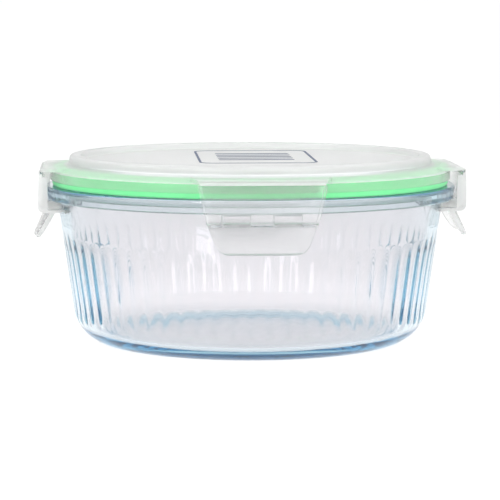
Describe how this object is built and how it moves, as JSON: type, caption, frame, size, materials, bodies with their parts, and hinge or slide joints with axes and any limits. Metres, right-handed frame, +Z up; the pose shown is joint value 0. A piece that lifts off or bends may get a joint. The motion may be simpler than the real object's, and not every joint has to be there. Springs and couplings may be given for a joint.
{
  "type": "glass storage container",
  "caption": "Round fluted glass storage dish with a clip-on clear lid, a green silicone seal and hinged side latches that hook under the rim.",
  "frame": {"origin": "centre of the foot ring, on the surface that the dish stands on", "axes": "+Z up along the dish's axis; the front latch faces -Y, the right latch +X"},
  "size_m": [0.2106, 0.2106, 0.0915],
  "materials": {
    "glass": "clear pressed soda-lime glass with a faint blue edge tint",
    "clear_plastic": "translucent polypropylene, glossy with a fine moulded texture",
    "seal_silicone": "soft green silicone, satin",
    "label_ink": "dark printed ink, matt"
  },
  "bodies": {
    "dish": {"glass_dish": "glass"},
    "lid": {"lid_cover": "clear_plastic", "lid_label": "label_ink", "seal_ring": "seal_silicone", "hinge_film_front": "clear_plastic", "hinge_film_right": "clear_plastic", "hinge_film_back": "clear_plastic", "hinge_film_left": "clear_plastic"},
    "latch_front": {"latch_front": "clear_plastic"},
    "latch_right": {"latch_right": "clear_plastic"},
    "latch_back": {"latch_back": "clear_plastic"},
    "latch_left": {"latch_left": "clear_plastic"}
  },
  "joints": [
    {"name": "lid_lift", "type": "slide", "parent": "dish", "child": "lid", "axis": [0, 0, 1], "range_m": [0, 0.012]},
    {"name": "latch_front_hinge", "type": "hinge", "parent": "lid", "child": "latch_front", "pos_m": [0, -0.1016, 0.0846], "axis": [-1, 0, 0], "range_deg": [0, 160], "deforming": ["hinge_film_front"]},
    {"name": "latch_right_hinge", "type": "hinge", "parent": "lid", "child": "latch_right", "pos_m": [0.1016, 0, 0.0846], "axis": [0, -1, 0], "range_deg": [0, 160], "deforming": ["hinge_film_right"]},
    {"name": "latch_back_hinge", "type": "hinge", "parent": "lid", "child": "latch_back", "pos_m": [0, 0.1016, 0.0846], "axis": [1, 0, 0], "range_deg": [0, 160], "deforming": ["hinge_film_back"]},
    {"name": "latch_left_hinge", "type": "hinge", "parent": "lid", "child": "latch_left", "pos_m": [-0.1016, 0, 0.0846], "axis": [0, 1, 0], "range_deg": [0, 160], "deforming": ["hinge_film_left"]}
  ],
  "couplings": [
    {"joint": "latch_front_hinge", "follows": "lid_lift", "rad_per_m": 232.71},
    {"joint": "latch_right_hinge", "follows": "lid_lift", "rad_per_m": 232.71},
    {"joint": "latch_back_hinge", "follows": "lid_lift", "rad_per_m": 232.71},
    {"joint": "latch_left_hinge", "follows": "lid_lift", "rad_per_m": 232.71}
  ]
}
